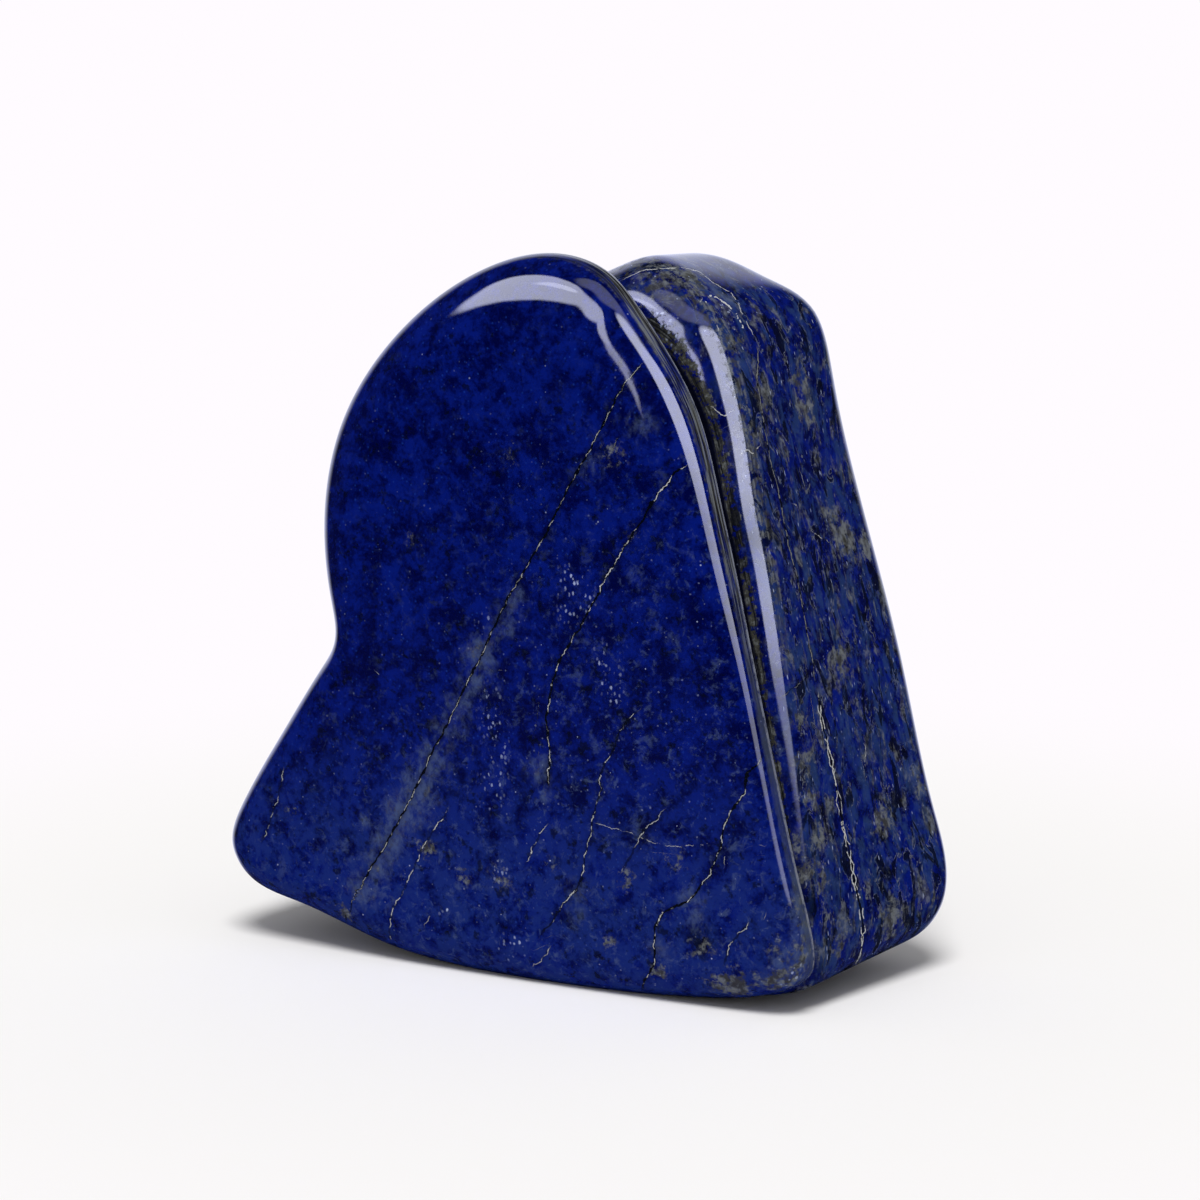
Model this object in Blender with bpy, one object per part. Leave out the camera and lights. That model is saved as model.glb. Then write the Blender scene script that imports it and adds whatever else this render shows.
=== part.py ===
"""A polished freeform of lapis lazuli that stands on a small flat spot.

The stone is lofted through rings. Each ring goes once round the stone, clockwise as seen from the front
and starting at the top, and the rings follow one another from the front face to the back:
front face, front rim, edge of the front layer, open seam, edge of the main body, side, back rim, back face.
Front is -Y, right is +X, up is +Z. Design lengths are in millimetres.
"""

import math

import bmesh
import bpy
import numpy as np

MM = 0.001

# Overall depth, and how far the front and back faces fall away at CROWN_REACH from the core at x and z
THICKNESS = 41.0
FRONT_CROWN = 1.0
BACK_CROWN = 2.2
CROWN_REACH = 48.0
CORE = (-1.0, 42.0)
# Width of the flat band just before the seam, and the seam depth from which its far edge is rounded
LIP_BAND = 0.5
OPEN_DEPTH = 0.5

# How finely the loft is divided: points in a ring, shares of the cap rings, and steps across each rounding
POINTS_AROUND = 84
CAP_RINGS = (0.82, 0.6, 0.36, 0.14)
RIM_STEPS = 7
EDGE_STEPS = 5
SIDE_STEPS = 5
BACK_STEPS = 6
# How insets are smoothed: length of outline that a direction is averaged over, rounds of evening out,
# and the depth from which they count in full
NORMAL_SPREAD = 3.0
RELAX_ROUNDS = 8
RELAX_DEPTH = 5.0
# Length that a turn of one radian counts for when points are spread round an outline
TURN_WEIGHT = 12.0

# Outline of the front layer, clockwise from the top: x and z
LAYER_OUTLINE = (
    (-1.1, 95.9), (4.6, 95.5), (9.2, 93.4), (13.2, 89.2), (20.6, 79.0), (26.3, 63.0), (32.0, 41.0),
    (37.3, 17.5), (38.9, 9.4), (38.2, 5.2), (34.5, 2.7), (24.0, 0.55), (9.0, -0.4), (-8.0, -0.3),
    (-25.0, 1.7), (-38.2, 5.5), (-46.6, 8.3), (-49.3, 13.0), (-47.4, 18.8), (-40.0, 30.2), (-33.5, 39.6),
    (-31.4, 43.4), (-32.0, 47.5), (-33.45, 58.5), (-30.8, 72.2), (-22.5, 84.4), (-11.6, 92.6),
)
# How far the outline of the main body stands from the front layer's where it meets the open seam,
# by the number of the outline point
BODY_DEPARTS = {
    0: (4.1, -2.6), 1: (4.6, -0.3), 2: (6.8, -0.9), 3: (7.6, -1.7), 4: (4.3, -0.5), 5: (3.1, -0.5),
    6: (2.6, 0.0), 7: (0.7, 0.0), 8: (0.1, -0.8), 9: (0.1, -1.3), 10: (0.0, -0.9), 11: (0.0, -0.2),
    24: (0.3, -0.5), 25: (1.4, -2.2), 26: (2.8, -3.9),
}
# The same at the back rim
BACK_DEPARTS = {
    0: (6.7, -2.1), 1: (5.6, -0.6), 2: (8.8, -1.0), 3: (11.6, -0.8), 4: (7.0, -0.2), 5: (5.1, -1.0),
    6: (5.6, 0.0), 7: (6.3, 2.0), 8: (6.8, 1.8), 9: (5.2, 0.5), 10: (2.1, -0.1), 11: (0.0, 0.1),
    14: (1.0, 0.8), 15: (2.0, 0.8), 16: (2.6, 0.8), 17: (3.0, 0.6), 18: (3.0, 0.4), 19: (2.6, 0.2),
    20: (1.8, -0.4), 21: (1.4, 0.2), 22: (1.5, 0.5), 23: (2.0, 0.0), 24: (2.8, -2.6), 25: (3.4, -4.8),
    26: (4.6, -6.0),
}

# Values round the stone, joined smoothly: (number of the outline point, value)
# Front rim: how far it reaches into the front face, and how far back it turns
RIM_WIDTH = (
    (0, 9.5), (3, 11.0), (4, 9.5), (5, 6.0), (6, 3.8), (7, 3.4), (9, 5.0), (12, 5.5), (20, 5.0), (24, 7.0),
)
RIM_DEPTH = (
    (0, 6.0), (3, 6.0), (4, 5.6), (5, 4.2), (6, 2.8), (7, 3.2), (9, 5.0), (12, 5.0), (20, 5.0), (24, 5.4),
)
# Open seam: how far behind the front face it starts, how far in it goes, and how wide it is
LAYER_DEPTH = (
    (0, 6.8), (3, 6.8), (4, 6.2), (5, 5.0), (6, 3.9), (7, 4.2), (9, 5.6), (12, 6.0), (20, 6.5), (24, 6.5),
)
SEAM_DEPTH = (
    (0, 4.4), (3, 4.4), (5, 3.4), (6, 2.4), (7, 1.2), (9, 0.5), (11, 0.0), (23, 0.0), (24, 0.4), (25, 1.6),
    (26, 3.2),
)
SEAM_WIDTH = ((0, 3.6), (3, 3.6), (4, 3.4), (5, 2.4), (6, 1.5), (8, 0.8), (12, 0.8), (23, 0.8), (25, 1.8))
# Roundings of the main body: its edge at the seam and its back rim
BODY_EDGE = (
    (0, 10.0), (2, 9.0), (3, 6.0), (4, 4.5), (6, 3.6), (7, 2.4), (9, 1.6), (12, 0.8), (22, 0.8), (25, 5.0),
)
BACK_RIM = (
    (0, 12.0), (2, 9.0), (3, 6.5), (5, 5.0), (7, 5.0), (8, 6.5), (10, 9.0), (13, 10.0), (16, 8.0), (20, 6.0),
    (24, 9.0),
)


def through(points, at):
    """A smooth closed curve through the points, read at positions counted in points."""
    points = np.asarray(points, float)
    count = len(points)
    hop = np.linalg.norm(np.roll(points[:, :2], -1, axis=0) - points[:, :2], axis=1)
    before = np.roll(hop, 1)
    matrix = np.zeros((count, count))
    ahead_rise = (np.roll(points, -1, axis=0) - points) / hop[:, None]
    back_rise = np.roll(ahead_rise, 1, axis=0)
    for i in range(count):
        matrix[i, i - 1] = before[i] / 6.0
        matrix[i, i] = (before[i] + hop[i]) / 3.0
        matrix[i, (i + 1) % count] = hop[i] / 6.0
    bend = np.linalg.solve(matrix, ahead_rise - back_rise)
    start = np.floor(at).astype(int) % count
    end = (start + 1) % count
    step = hop[start][:, None]
    b = (at - np.floor(at))[:, None]
    a = 1.0 - b
    sag = ((a**3 - a) * bend[start] + (b**3 - b) * bend[end]) * step**2 / 6.0
    return a * points[start] + b * points[end] + sag


def spread(points, count):
    """Positions round a closed curve, the same length apart but closer together where it turns."""
    fine = np.linspace(0.0, len(points), 4001)
    hop = np.diff(through(points, fine), axis=0)
    heading = np.unwrap(np.arctan2(hop[:, 1], hop[:, 0]))
    turn = np.abs(np.diff(heading, append=heading[0] - math.tau))
    length = np.concatenate([[0.0], np.cumsum(np.linalg.norm(hop, axis=1) + TURN_WEIGHT * turn)])
    return np.interp(np.arange(count) * length[-1] / count, length, fine)


def departing(outline, departs):
    """The outline with some of its points moved."""
    moved = np.array(outline, float)
    for number, shift in departs.items():
        moved[number] += shift
    return moved


def knots(pairs, at, count):
    """Values read smoothly from knots that go round a closed outline of count points."""
    where = np.array([p[0] for p in pairs], float)
    value = np.array([p[1] for p in pairs], float)
    where = np.concatenate([where - count, where, where + count])
    value = np.concatenate([value, value, value])
    index = np.clip(np.searchsorted(where, at, side="right") - 1, 0, len(where) - 2)
    share = (at - where[index]) / (where[index + 1] - where[index])
    share = share * share * (3.0 - 2.0 * share)
    return value[index] * (1.0 - share) + value[index + 1] * share


def inward(ring):
    """Directions into a clockwise ring, averaged over a stretch so that insets stay clear at corners."""
    ahead = np.roll(ring, -1, axis=0) - np.roll(ring, 1, axis=0)
    normal = np.stack([ahead[:, 1], -ahead[:, 0]], axis=1)
    hop = np.linalg.norm(np.roll(ring, -1, axis=0) - ring, axis=1)
    along = np.cumsum(hop)
    apart = np.abs(along[:, None] - along[None, :])
    apart = np.minimum(apart, along[-1] - apart)
    total = np.exp(-0.5 * (apart / NORMAL_SPREAD) ** 2) @ normal
    return total / np.linalg.norm(total, axis=1)[:, None]


def inset(ring, depth):
    """The ring moved inwards, evened out where it moves far so that it never crosses itself in a corner."""
    inner = ring + inward(ring) * depth[:, None]
    ease = 0.5 * np.clip(depth / RELAX_DEPTH, 0.0, 1.0)[:, None]
    for _ in range(RELAX_ROUNDS):
        middle = 0.5 * (np.roll(inner, 1, axis=0) + np.roll(inner, -1, axis=0))
        inner = inner * (1 - ease) + middle * ease
    return inner


def arc(steps, start=0.0, end=90.0):
    """Angles in radians at equal steps, with both ends."""
    return [math.radians(start + (end - start) * k / steps) for k in range(steps + 1)]


def stone_rings(count):
    """The rings from front to back, each an array of points, with the inner rings of the two caps."""
    at = spread(LAYER_OUTLINE, count)
    points = len(LAYER_OUTLINE)
    layer = through(LAYER_OUTLINE, at)
    body = through(departing(LAYER_OUTLINE, BODY_DEPARTS), at)
    back = through(departing(LAYER_OUTLINE, BACK_DEPARTS), at)
    rim_width, rim_depth, layer_depth, seam_depth, seam_width, body_edge, back_rim = (
        knots(pairs, at, points)
        for pairs in (RIM_WIDTH, RIM_DEPTH, LAYER_DEPTH, SEAM_DEPTH, SEAM_WIDTH, BODY_EDGE, BACK_RIM)
    )
    front_flat = inset(layer, rim_width)
    seam_floor = inset(layer, seam_depth)
    shoulder = inset(body, body_edge * np.clip(seam_depth / OPEN_DEPTH, 0.0, 1.0))
    back_flat = inset(back, back_rim)
    rings = []

    def ring(start, end, share, depth):
        flat = start * (1 - share) + end * share
        rings.append(np.column_stack([flat[:, 0], np.broadcast_to(depth, (count,)), flat[:, 1]]))

    front = -THICKNESS / 2
    for angle in arc(RIM_STEPS):
        ring(layer, front_flat, 1 - math.sin(angle), front + rim_depth * (1 - math.cos(angle)))
    lip = front + layer_depth
    ring(layer, seam_floor, 0.0, lip - LIP_BAND)
    for share, along in ((0.04, 0.0), (0.5, 0.12), (0.9, 0.3), (1.0, 0.45)):
        ring(layer, seam_floor, share, lip + along * seam_width)
    for share, along in ((0.15, 0.62), (0.6, 0.85)):
        ring(seam_floor, shoulder, share, lip + along * seam_width)
    wall = lip + seam_width
    for angle in arc(EDGE_STEPS):
        ring(body, shoulder, 1 - math.sin(angle), wall + body_edge * (1 - math.cos(angle)))
    side_start = wall + body_edge
    side_end = THICKNESS / 2 - back_rim
    for step in range(1, SIDE_STEPS):
        share = step / SIDE_STEPS
        ring(body, back, share, side_start * (1 - share) + side_end * share)
    for angle in arc(BACK_STEPS):
        ring(back, back_flat, 1 - math.cos(angle), side_end + back_rim * math.sin(angle))
    front_cap = [shrunk(rings[0], share) for share in CAP_RINGS]
    back_cap = [shrunk(rings[-1], share) for share in CAP_RINGS]
    rings = [crowned(points) for points in front_cap[::-1] + rings + back_cap]
    across = np.concatenate(rings)[:, 0]
    return [points - (0.5 * (across.min() + across.max()), 0.0, 0.0) for points in rings]


def shrunk(ring, share):
    """The ring drawn in towards the core of the stone."""
    core = np.array([CORE[0], 0.0, CORE[1]])
    inner = core + (ring - core) * share
    inner[:, 1] = ring[:, 1]
    return inner


def crowned(ring):
    """The ring with the slow swell of the front and the back faces added."""
    out = np.hypot(ring[:, 0] - CORE[0], ring[:, 2] - CORE[1]) / CROWN_REACH
    share = ring[:, 1] / THICKNESS + 0.5
    swelled = ring.copy()
    swelled[:, 1] += (FRONT_CROWN * (1 - share) - BACK_CROWN * share) * out**2
    return swelled


def loft(name, rings):
    """A closed mesh through the rings, with a point in the middle of each end."""
    count = len(rings[0])
    mesh = bmesh.new()
    grid = [[mesh.verts.new(point * MM) for point in ring] for ring in rings]
    for ahead, behind in zip(grid, grid[1:]):
        for k in range(count):
            mesh.faces.new((ahead[k], ahead[k - 1], behind[k - 1], behind[k]))
    for ring in (grid[0], grid[-1]):
        middle = mesh.verts.new(sum((v.co for v in ring[1:]), ring[0].co.copy()) / count)
        for k in range(count):
            mesh.faces.new((ring[k - 1], ring[k], middle))
    bmesh.ops.recalc_face_normals(mesh, faces=mesh.faces)
    data = bpy.data.meshes.new(name)
    mesh.to_mesh(data)
    mesh.free()
    data.shade_smooth()
    return bpy.data.objects.new(name, data)


def ground_cutter():
    """A box under the floor that cuts the small flat spot which the stone rests on."""
    mesh = bmesh.new()
    bmesh.ops.create_cube(mesh, size=1.0)
    data = bpy.data.meshes.new("ground_cutter")
    for vertex in mesh.verts:
        vertex.co = (vertex.co.x * 200 * MM, vertex.co.y * 200 * MM, (vertex.co.z - 0.5) * 50 * MM)
    mesh.to_mesh(data)
    mesh.free()
    cutter = bpy.data.objects.new("ground_cutter", data)
    cutter.hide_render = True
    cutter.display_type = "WIRE"
    return cutter


def lapis():
    """Deep blue polished lapis lazuli."""
    material = bpy.data.materials.new("polished_lapis")
    material.use_nodes = True
    shader = material.node_tree.nodes["Principled BSDF"]
    shader.inputs["Base Color"].default_value = (0.004, 0.012, 0.13, 1.0)
    shader.inputs["Roughness"].default_value = 0.08
    shader.inputs["Metallic"].default_value = 0.0
    return material


def clear_scene():
    for item in list(bpy.data.objects):
        bpy.data.objects.remove(item, do_unlink=True)


def main():
    clear_scene()
    stone = loft("stone", stone_rings(POINTS_AROUND))
    stone.data.materials.append(lapis())
    bpy.context.scene.collection.objects.link(stone)
    cutter = ground_cutter()
    bpy.context.scene.collection.objects.link(cutter)
    flat_spot = stone.modifiers.new("flat_spot", "BOOLEAN")
    flat_spot.operation = "DIFFERENCE"
    flat_spot.solver = "EXACT"
    flat_spot.object = cutter


main()
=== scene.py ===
"""Looks of a polished freeform of lapis lazuli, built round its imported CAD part.

The stone is extruded ring by ring, from the front face to the back, and replaces the CAD node.
Its veins and patches are laid on its points as attributes, and one material reads them.
Front is -Y, right is +X, up is +Z. Design lengths are in millimetres and the scene is in metres.
"""

import math

import bmesh
import bpy
import numpy as np
from bpy.props import FloatProperty, FloatVectorProperty, IntProperty, PointerProperty
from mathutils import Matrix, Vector


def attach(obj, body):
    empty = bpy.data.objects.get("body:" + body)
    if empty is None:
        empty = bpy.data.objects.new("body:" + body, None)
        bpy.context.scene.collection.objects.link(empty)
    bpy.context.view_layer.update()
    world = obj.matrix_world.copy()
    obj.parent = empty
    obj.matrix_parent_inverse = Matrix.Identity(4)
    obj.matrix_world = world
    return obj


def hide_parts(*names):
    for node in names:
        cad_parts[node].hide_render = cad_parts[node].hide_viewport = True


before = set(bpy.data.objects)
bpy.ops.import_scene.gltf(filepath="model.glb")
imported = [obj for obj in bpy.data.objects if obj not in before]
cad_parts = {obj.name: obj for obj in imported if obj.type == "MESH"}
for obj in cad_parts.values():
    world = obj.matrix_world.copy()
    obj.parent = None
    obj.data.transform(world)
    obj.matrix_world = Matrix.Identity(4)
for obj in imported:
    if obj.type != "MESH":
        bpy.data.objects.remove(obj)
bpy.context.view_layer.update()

bl_info = {
    "name": "Polished lapis lazuli freeform",
    "version": (1, 0, 0),
    "blender": (4, 5, 0),
    "location": "View3D > Sidebar > Lapis",
    "description": "Builds a polished lapis lazuli stone, its veins and its studio",
    "category": "Object",
}

MM = 0.001

# The stone's form, as in its solid but for a wider and squarer front rim on the right
# Overall depth, and how far the front and back faces fall away at CROWN_REACH from the core at x and z
THICKNESS = 41.0
FRONT_CROWN = 1.0
BACK_CROWN = 2.2
CROWN_REACH = 48.0
CORE = (-1.0, 42.0)
# Width of the flat band just before the seam, and the seam depth from which its far edge is rounded
LIP_BAND = 0.5
OPEN_DEPTH = 0.5
# Steps across each rounding and along the side
RIM_STEPS = 9
EDGE_STEPS = 8
SIDE_STEPS = 8
BACK_STEPS = 7
# How insets are smoothed: length of outline that a direction is averaged over, rounds of evening out
# for RELAX_POINTS round the stone, and the depth from which they count in full
NORMAL_SPREAD = 3.0
RELAX_ROUNDS = 8
RELAX_POINTS = 84
RELAX_DEPTH = 5.0
# How finely an outline is measured when points are spread round it, and the length that a turn of one radian
# counts for
FINE_POINTS = 4001
TURN_WEIGHT = 12.0
# How the grids of the front and back faces start, how much they are evened out, and the smallest length
# in metres that counts when the flat spot is cut
CAP_OFFSET = 0
CAP_SMOOTHING = 40
TINY = 1e-7

# Outline of the front layer, clockwise from the top: x and z
LAYER_OUTLINE = (
    (-1.1, 95.9), (4.6, 95.5), (9.2, 93.4), (13.2, 89.2), (20.6, 79.0), (26.3, 63.0), (32.0, 41.0),
    (37.3, 17.5), (38.9, 9.4), (38.2, 5.2), (34.5, 2.7), (24.0, 0.55), (9.0, -0.4), (-8.0, -0.3),
    (-25.0, 1.7), (-38.2, 5.5), (-46.6, 8.3), (-49.3, 13.0), (-47.4, 18.8), (-40.0, 30.2), (-33.5, 39.6),
    (-31.4, 43.4), (-32.0, 47.5), (-33.45, 58.5), (-30.8, 72.2), (-22.5, 84.4), (-11.6, 92.6),
)
# How far the outline of the main body stands from the front layer's where it meets the open seam,
# by the number of the outline point
BODY_DEPARTS = {
    0: (4.1, -2.6), 1: (4.6, -0.3), 2: (6.8, -0.9), 3: (7.6, -1.7), 4: (4.3, -0.5), 5: (3.1, -0.5),
    6: (2.6, 0.0), 7: (0.7, 0.0), 8: (0.1, -0.8), 9: (0.1, -1.3), 10: (0.0, -0.9), 11: (0.0, -0.2),
    24: (0.3, -0.5), 25: (1.4, -2.2), 26: (2.8, -3.9),
}
# The same at the back rim
BACK_DEPARTS = {
    0: (6.7, -2.1), 1: (5.6, -0.6), 2: (8.8, -1.0), 3: (11.6, -0.8), 4: (7.0, -0.2), 5: (5.1, -1.0),
    6: (5.6, 0.0), 7: (6.3, 2.0), 8: (6.8, 1.8), 9: (5.2, 0.5), 10: (2.1, -0.1), 11: (0.0, 0.1),
    14: (1.0, 0.8), 15: (2.0, 0.8), 16: (2.6, 0.8), 17: (3.0, 0.6), 18: (3.0, 0.4), 19: (2.6, 0.2),
    20: (1.8, -0.4), 21: (1.4, 0.2), 22: (1.5, 0.5), 23: (2.0, 0.0), 24: (2.8, -2.6), 25: (3.4, -4.8),
    26: (4.6, -6.0),
}

# Values round the stone, joined smoothly: (number of the outline point, value)
# Front rim: how far it reaches into the front face, and how far back it turns
RIM_WIDTH = (
    (0, 9.5), (3, 12.5), (4, 12.0), (5, 8.2), (6, 5.4), (7, 4.8), (9, 5.0), (12, 5.5), (20, 5.0), (24, 7.0),
)
RIM_DEPTH = (
    (0, 6.0), (3, 6.0), (4, 5.6), (5, 4.2), (6, 2.8), (7, 3.2), (9, 5.0), (12, 5.0), (20, 5.0), (24, 5.4),
)
# How square the front rim is in section: 2 is an ellipse, and more turns tighter halfway round
RIM_SQUARENESS = (
    (0, 2.0), (2, 2.3), (3, 2.9), (4, 3.3), (7, 3.3), (9, 2.4), (12, 2.0), (24, 2.0),
)
# Open seam: how far behind the front face it starts, how far in it goes, and how wide it is
LAYER_DEPTH = (
    (0, 6.8), (3, 6.8), (4, 6.2), (5, 5.0), (6, 3.9), (7, 4.2), (9, 5.6), (12, 6.0), (20, 6.5), (24, 6.5),
)
SEAM_DEPTH = (
    (0, 4.4), (3, 4.4), (5, 3.4), (6, 2.4), (7, 1.2), (9, 0.5), (11, 0.0), (23, 0.0), (24, 0.4), (25, 1.6),
    (26, 3.2),
)
SEAM_WIDTH = ((0, 3.6), (3, 3.6), (4, 3.4), (5, 2.4), (6, 1.5), (8, 0.8), (12, 0.8), (23, 0.8), (25, 1.8))
# Roundings of the main body: its edge at the seam and its back rim
BODY_EDGE = (
    (0, 10.0), (2, 9.0), (3, 6.0), (4, 4.5), (6, 3.6), (7, 2.4), (9, 1.6), (12, 0.8), (22, 0.8), (25, 5.0),
)
BACK_RIM = (
    (0, 12.0), (2, 9.0), (3, 6.5), (5, 5.0), (7, 5.0), (8, 6.5), (10, 9.0), (13, 10.0), (16, 8.0), (20, 6.0),
    (24, 9.0),
)

# Rings across the seam, in from the lip and out again to the body's edge: the share of the way, how far back
# in seam widths, and on the way in the stations past the lip
SEAM_WAY_IN = ((0.04, 0.0, 0.0), (0.25, 0.06, 0.3), (0.5, 0.12, 0.5), (0.9, 0.3, 0.9))
SEAM_DEEPEST = 0.45
SEAM_WAY_OUT = ((0.15, 0.62), (0.6, 0.85))

# Stations count the parts of the form from front to back, for the material
FRONT_FACE = 0.0
RIM_END = 0.8
BAND_START = 0.92
LAYER_LIP = 1.0
SEAM_FLOOR = 2.0
BODY_WALL = 3.0
BODY_SIDE = 4.0
BACK_EDGE = 4.5
BACK_FACE = 5.0
QUARTER_TURN = math.pi / 2


def through(points, at):
    """A smooth closed curve through the points, read at positions counted in points."""
    points = np.asarray(points, float)
    count = len(points)
    hop = np.linalg.norm(np.roll(points[:, :2], -1, axis=0) - points[:, :2], axis=1)
    before = np.roll(hop, 1)
    matrix = np.zeros((count, count))
    ahead_rise = (np.roll(points, -1, axis=0) - points) / hop[:, None]
    back_rise = np.roll(ahead_rise, 1, axis=0)
    for i in range(count):
        matrix[i, i - 1] = before[i] / 6.0
        matrix[i, i] = (before[i] + hop[i]) / 3.0
        matrix[i, (i + 1) % count] = hop[i] / 6.0
    bend = np.linalg.solve(matrix, ahead_rise - back_rise)
    start = np.floor(at).astype(int) % count
    end = (start + 1) % count
    step = hop[start][:, None]
    past = (at - np.floor(at))[:, None]
    left = 1.0 - past
    sag = ((left**3 - left) * bend[start] + (past**3 - past) * bend[end]) * step**2 / 6.0
    return left * points[start] + past * points[end] + sag


def spread(points, count):
    """Positions round a closed curve, the same length apart but closer together where it turns."""
    fine = np.linspace(0.0, len(points), FINE_POINTS)
    hop = np.diff(through(points, fine), axis=0)
    heading = np.unwrap(np.arctan2(hop[:, 1], hop[:, 0]))
    turn = np.abs(np.diff(heading, append=heading[0] - math.tau))
    length = np.concatenate([[0.0], np.cumsum(np.linalg.norm(hop, axis=1) + TURN_WEIGHT * turn)])
    return np.interp(np.arange(count) * length[-1] / count, length, fine)


def departing(outline, departs):
    """The outline with some of its points moved."""
    moved = np.array(outline, float)
    for number, shift in departs.items():
        moved[number] += shift
    return moved


def knots(pairs, at, count):
    """Values read smoothly from knots that go round a closed outline of count points."""
    where = np.array([p[0] for p in pairs], float)
    value = np.array([p[1] for p in pairs], float)
    where = np.concatenate([where - count, where, where + count])
    value = np.concatenate([value, value, value])
    index = np.clip(np.searchsorted(where, at, side="right") - 1, 0, len(where) - 2)
    share = (at - where[index]) / (where[index + 1] - where[index])
    share = share * share * (3.0 - 2.0 * share)
    return value[index] * (1.0 - share) + value[index + 1] * share


def inward(ring):
    """Directions into a clockwise ring, averaged over a stretch so that insets stay clear at corners."""
    ahead = np.roll(ring, -1, axis=0) - np.roll(ring, 1, axis=0)
    normal = np.stack([ahead[:, 1], -ahead[:, 0]], axis=1)
    hop = np.linalg.norm(np.roll(ring, -1, axis=0) - ring, axis=1)
    along = np.cumsum(hop)
    apart = np.abs(along[:, None] - along[None, :])
    apart = np.minimum(apart, along[-1] - apart)
    total = np.exp(-0.5 * (apart / NORMAL_SPREAD) ** 2) @ normal
    return total / np.linalg.norm(total, axis=1)[:, None]


def inset(ring, depth):
    """The ring moved inwards, evened out where it moves far so that it never crosses itself in a corner."""
    inner = ring + inward(ring) * depth[:, None]
    ease = 0.5 * np.clip(depth / RELAX_DEPTH, 0.0, 1.0)[:, None]
    for _ in range(round(RELAX_ROUNDS * (len(ring) / RELAX_POINTS) ** 2)):
        middle = 0.5 * (np.roll(inner, 1, axis=0) + np.roll(inner, -1, axis=0))
        inner = inner * (1 - ease) + middle * ease
    return inner


def arc(steps, start=0.0, end=90.0):
    """Angles in radians at equal steps, with both ends."""
    return [math.radians(start + (end - start) * k / steps) for k in range(steps + 1)]


def crown(x, z, share):
    """How far back the slow swell puts a point at x and z, from share 0 in front to 1 at the back."""
    out = np.hypot(x - CORE[0], z - CORE[1]) / CROWN_REACH
    return (FRONT_CROWN * (1 - share) - BACK_CROWN * share) * out**2


def stone_rings(count):
    """The rings from the edge of the front face to the edge of the back, and the station of each."""
    at = spread(LAYER_OUTLINE, count)
    layer = through(LAYER_OUTLINE, at)
    body = through(departing(LAYER_OUTLINE, BODY_DEPARTS), at)
    back = through(departing(LAYER_OUTLINE, BACK_DEPARTS), at)
    rim_width, rim_depth, layer_depth, seam_depth, seam_width, body_edge, back_rim, squareness = (
        knots(pairs, at, len(LAYER_OUTLINE))
        for pairs in (
            RIM_WIDTH, RIM_DEPTH, LAYER_DEPTH, SEAM_DEPTH, SEAM_WIDTH, BODY_EDGE, BACK_RIM, RIM_SQUARENESS
        )
    )
    front_flat = inset(layer, rim_width)
    seam_floor = inset(layer, seam_depth)
    shoulder = inset(body, body_edge * np.clip(seam_depth / OPEN_DEPTH, 0.0, 1.0))
    back_flat = inset(back, back_rim)
    rings = []
    stations = []

    def ring(start, end, share, depth, station):
        share = np.broadcast_to(share, (count,))[:, None]
        flat = start * (1 - share) + end * share
        rings.append(np.column_stack([flat[:, 0], np.broadcast_to(depth, (count,)), flat[:, 1]]))
        stations.append(station)

    front = -THICKNESS / 2
    for angle in arc(RIM_STEPS):
        outward = math.sin(angle) ** (2 / squareness)
        turned = 1 - math.cos(angle) ** (2 / squareness)
        station = FRONT_FACE + RIM_END * angle / QUARTER_TURN
        ring(layer, front_flat, 1 - outward, front + rim_depth * turned, station)
    lip = front + layer_depth
    ring(layer, seam_floor, 0.0, lip - LIP_BAND, BAND_START)
    for share, along, station in SEAM_WAY_IN:
        ring(layer, seam_floor, share, lip + along * seam_width, LAYER_LIP + station)
    ring(layer, seam_floor, 1.0, lip + SEAM_DEEPEST * seam_width, SEAM_FLOOR)
    for share, along in SEAM_WAY_OUT:
        ring(seam_floor, shoulder, share, lip + along * seam_width, SEAM_FLOOR + 0.5 * along)
    wall = lip + seam_width
    for angle in arc(EDGE_STEPS):
        station = BODY_WALL + (BODY_SIDE - BODY_WALL) * angle / QUARTER_TURN
        ring(body, shoulder, 1 - math.sin(angle), wall + body_edge * (1 - math.cos(angle)), station)
    side_start = wall + body_edge
    side_end = THICKNESS / 2 - back_rim
    for step in range(1, SIDE_STEPS):
        share = step / SIDE_STEPS
        station = BODY_SIDE + (BACK_EDGE - BODY_SIDE) * share
        ring(body, back, share, side_start * (1 - share) + side_end * share, station)
    for angle in arc(BACK_STEPS):
        station = BACK_EDGE + (BACK_FACE - BACK_EDGE) * angle / QUARTER_TURN
        ring(back, back_flat, 1 - math.cos(angle), side_end + back_rim * math.sin(angle), station)
    for points in rings:
        points[:, 1] += crown(points[:, 0], points[:, 2], points[:, 1] / THICKNESS + 0.5)
    return rings, stations


# The photograph's camera: where it looks from, what it looks at, its frame of FRAME_PIXELS squared, and the
# distance in metres from which it sees
VIEW_AZIMUTH = 28.0
VIEW_ELEVATION = 10.0
VIEW_DISTANCE = 470.0
VIEW_AIM = (1.864, 0.0, 48.5)
LENS = 105.0
SENSOR = 36.0
FRAME_PIXELS = 1200
CLIP_START = 0.01

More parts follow.
